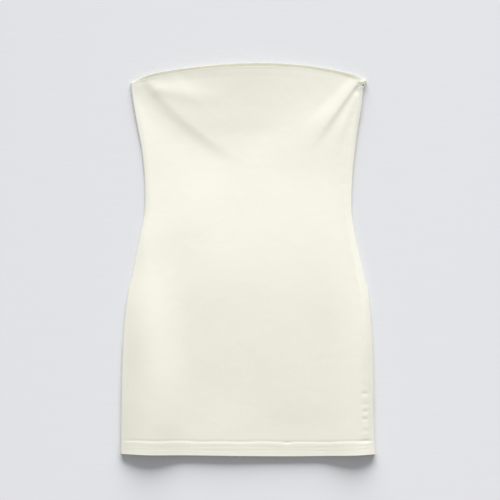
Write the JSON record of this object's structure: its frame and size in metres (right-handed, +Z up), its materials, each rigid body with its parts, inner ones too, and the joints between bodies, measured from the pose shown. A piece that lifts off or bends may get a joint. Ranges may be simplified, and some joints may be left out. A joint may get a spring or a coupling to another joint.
{
  "type": "mini dress",
  "caption": "Strapless satin mini dress laid flat, with an arched top edge, a nipped waist, a straight turned hem and a side opening.",
  "frame": {"origin": "on the surface that the dress lies on, at the middle of its length and width", "axes": "+X to the right of the laid-out dress as the picture shows it, +Y from the hem to the top edge, +Z up from the surface"},
  "size_m": [0.4574, 0.7082, 0.0139],
  "materials": {
    "satin": "satin weave, ivory",
    "zip_tape": "matt woven tape",
    "hook_wire": "dull, dark"
  },
  "bodies": {
    "root": {"front_panel": "satin", "back_panel": "satin", "zip": "zip_tape", "zip_slider": "zip_tape", "hook": "hook_wire", "eye": "hook_wire"}
  },
  "joints": []
}
